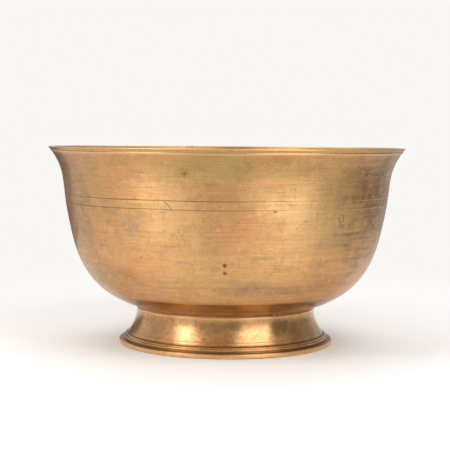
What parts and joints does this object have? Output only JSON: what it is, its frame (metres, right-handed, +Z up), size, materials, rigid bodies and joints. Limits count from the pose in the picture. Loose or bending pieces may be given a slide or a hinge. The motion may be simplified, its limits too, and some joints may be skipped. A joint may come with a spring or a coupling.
{
  "type": "footed bowl",
  "caption": "Deep round brass bowl with an everted lip, scribed lines and a hollow flared foot brazed underneath.",
  "frame": {"origin": "on the bowl's axis, at the level of the flat ring that the foot stands on", "axes": "+Z up along the bowl's axis, from foot to rim; X and Y are level, and the shape is the same all round"},
  "size_m": [0.2, 0.2, 0.11],
  "materials": {
    "bowl_brass": "turned and hand polished, aged, with fine turning lines and light tarnish",
    "foot_brass": "turned and brightly polished, lightly aged",
    "braze_alloy": "as cast braze, dull with green specks"
  },
  "bodies": {
    "root": {"bowl_shell": "bowl_brass", "foot_ring": "foot_brass", "braze_seam": "braze_alloy"}
  },
  "joints": []
}
